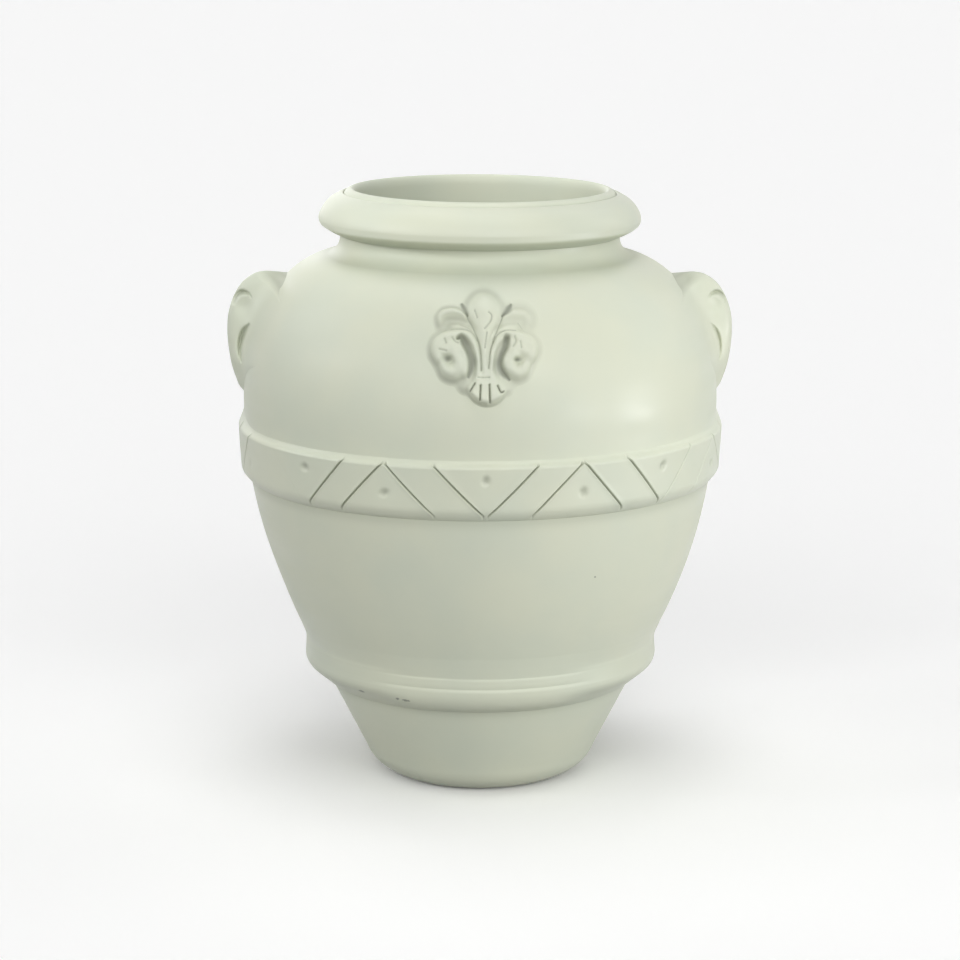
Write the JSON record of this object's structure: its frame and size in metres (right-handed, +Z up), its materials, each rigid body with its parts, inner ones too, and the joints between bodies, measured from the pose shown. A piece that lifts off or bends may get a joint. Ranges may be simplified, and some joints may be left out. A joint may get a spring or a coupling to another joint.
{
  "type": "jar planter",
  "caption": "Tall ovoid clay jar planter with a rolled rim, ear handles, an applied lily, an incised zigzag band and a ringed, tapered foot; holds soil and a plant.",
  "frame": {"origin": "centre of the base on the ground", "axes": "+Z up along the jar's axis, the lily faces -Y, the handles lie on X"},
  "size_m": [0.509, 0.4888, 0.6],
  "materials": {
    "painted_wall": "satin sage paint over hand-smoothed clay",
    "painted_floor": "duller sage paint on the base",
    "painted_moulding": "satin sage paint, a little glossier on the rolled edges",
    "painted_handle": "satin sage paint over thumbed clay",
    "painted_lily": "satin sage paint over moulded relief"
  },
  "bodies": {
    "root": {"floor_slab": "painted_floor", "foot_course": "painted_wall", "lower_belly_course": "painted_wall", "upper_belly_course": "painted_wall", "shoulder_course": "painted_wall", "neck_collar": "painted_wall", "rolled_rim": "painted_moulding", "base_ring": "painted_moulding", "zigzag_band": "painted_moulding", "left_handle_strap": "painted_handle", "left_handle_pad": "painted_handle", "right_handle_strap": "painted_handle", "right_handle_pad": "painted_handle", "lily_petal": "painted_lily", "lily_left_leaf": "painted_lily", "lily_right_leaf": "painted_lily", "lily_left_scroll": "painted_lily", "lily_right_scroll": "painted_lily", "lily_tie": "painted_lily", "lily_tassel": "painted_lily"}
  },
  "joints": []
}
